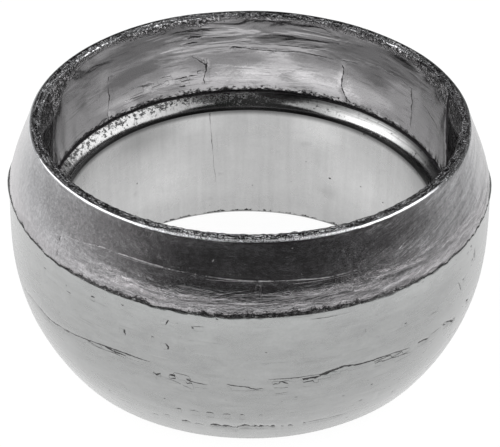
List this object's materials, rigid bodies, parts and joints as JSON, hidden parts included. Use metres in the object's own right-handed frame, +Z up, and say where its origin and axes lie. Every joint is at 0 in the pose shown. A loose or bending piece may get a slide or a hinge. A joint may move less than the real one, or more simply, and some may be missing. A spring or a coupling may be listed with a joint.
{
  "type": "exhaust pipe ring gasket",
  "caption": "Pressed graphite ball ring that seals a slip joint between two exhaust pipes: ball below, taper and thin rim above, stepped bore.",
  "frame": {"origin": "centre of the bottom face, on the ring's axis", "axes": "+Z up the ring's axis, from the ball to the rim; -Y is the side towards the camera in the picture, +X is to its right"},
  "size_m": [0.07, 0.07, 0.0356],
  "materials": {
    "pressed_graphite": "satin"
  },
  "bodies": {
    "root": {"gasket_ring": "pressed_graphite"}
  },
  "joints": []
}
